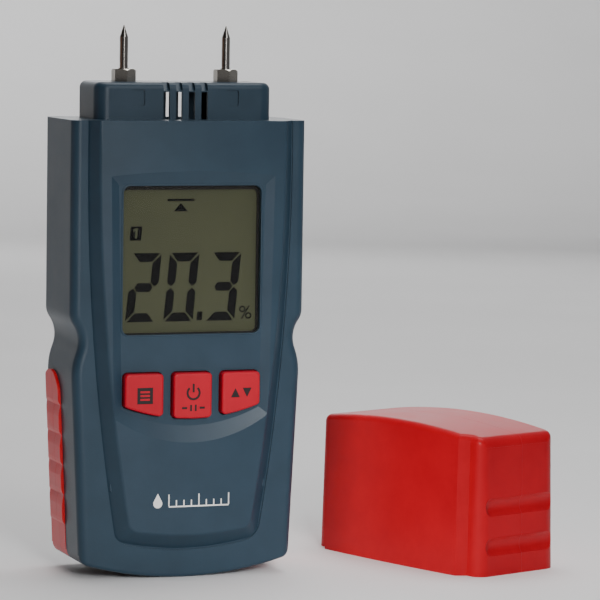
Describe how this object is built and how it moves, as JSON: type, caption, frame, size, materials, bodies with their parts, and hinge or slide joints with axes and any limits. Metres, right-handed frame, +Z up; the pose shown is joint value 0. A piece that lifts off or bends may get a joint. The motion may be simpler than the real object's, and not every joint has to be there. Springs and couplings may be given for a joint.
{
  "type": "moisture meter",
  "caption": "Handheld pin-type moisture meter with display, press keys, ribbed side grips, battery door and a lift-off protective cap.",
  "frame": {"origin": "lowest point of the meter's curved foot, on its centreline and midway along the electrodes' plane", "axes": "+Z up along the meter towards the electrode tips, +Y out of the back, the display faces -Y, +X to the right as seen from the front"},
  "size_m": [0.1399, 0.0737, 0.1524],
  "materials": {
    "case_plastic": "satin, fine moulded texture",
    "grip_rubber": "satin soft-touch",
    "key_plastic": "satin",
    "cap_plastic": "satin, fine moulded texture",
    "lens_clear": "clear moulded window",
    "lcd_grey": "olive grey display glass",
    "surround_black": "black moulded",
    "diffuser_white": "milky",
    "strip_rubber": "layered",
    "switch_plastic": "black moulded",
    "board_green": "solder resist",
    "chip_black": "black moulded",
    "resistor_black": "black glaze",
    "capacitor_tan": "tan",
    "capacitor_sleeve": "sleeved can",
    "led_white": "clear",
    "pin_steel": "polished",
    "collar_nickel": "nickel plated, turned",
    "bush_brass": "machined",
    "lug_tinned": "tinned",
    "lead_red": "insulation",
    "lead_black": "insulation",
    "cell_wrap": "wrapped can",
    "spring_steel": "plated wire",
    "screw_steel": "blackened",
    "label_grey": "blank matt film"
  },
  "bodies": {
    "meter": {"front_shell": "case_plastic", "rear_shell": "case_plastic", "grip_left_front": "grip_rubber", "grip_left_rear": "grip_rubber", "grip_right_front": "grip_rubber", "grip_right_rear": "grip_rubber", "display_lens": "lens_clear", "lcd_surround": "surround_black", "lcd_glass": "lcd_grey", "backlight_diffuser": "diffuser_white", "contact_strips": "strip_rubber", "tact_switches": "switch_plastic", "main_board": "board_green", "board_screws": "screw_steel", "microcontroller": "chip_black", "measuring_amplifier": "chip_black", "chip_resistors": "resistor_black", "chip_capacitors": "capacitor_tan", "reservoir_capacitor": "capacitor_sleeve", "buzzer": "chip_black", "backlight_led": "led_white", "temperature_sensor": "chip_black", "electrode_pin_left": "pin_steel", "electrode_pin_right": "pin_steel", "hex_collars": "collar_nickel", "electrode_bushes": "bush_brass", "ring_lugs": "lug_tinned", "electrode_lead_left": "lead_red", "electrode_lead_right": "lead_black", "supply_lead_plus": "lead_red", "supply_lead_minus": "lead_black", "battery_cell_left": "cell_wrap", "battery_cell_middle": "cell_wrap", "battery_cell_right": "cell_wrap", "cell_springs": "spring_steel", "contact_plates": "spring_steel", "contact_carrier": "chip_black", "case_screws": "screw_steel", "rating_label": "label_grey"},
    "menu_key": {"key_menu": "key_plastic", "plunger_menu": "switch_plastic"},
    "power_key": {"key_power": "key_plastic", "plunger_power": "switch_plastic"},
    "set_key": {"key_set": "key_plastic", "plunger_set": "switch_plastic"},
    "door": {"battery_door": "case_plastic"},
    "cap": {"cap_shell": "cap_plastic"}
  },
  "joints": [
    {"name": "menu_key_press", "type": "slide", "parent": "meter", "child": "menu_key", "axis": [0, 1, 0], "range_m": [0, 0.0008], "stiffness_N_per_m": 1500},
    {"name": "power_key_press", "type": "slide", "parent": "meter", "child": "power_key", "axis": [0, 1, 0], "range_m": [0, 0.0008], "stiffness_N_per_m": 1500},
    {"name": "set_key_press", "type": "slide", "parent": "meter", "child": "set_key", "axis": [0, 1, 0], "range_m": [0, 0.0008], "stiffness_N_per_m": 1500},
    {"name": "door_hinge", "type": "hinge", "parent": "meter", "child": "door", "pos_m": [0, 0.016, 0.009], "axis": [-1, 0, 0], "range_deg": [0, 80]},
    {"name": "cap_lift", "type": "slide", "parent": "meter", "child": "cap", "axis": [0, 0, 1], "range_m": [0, 0.13]}
  ]
}
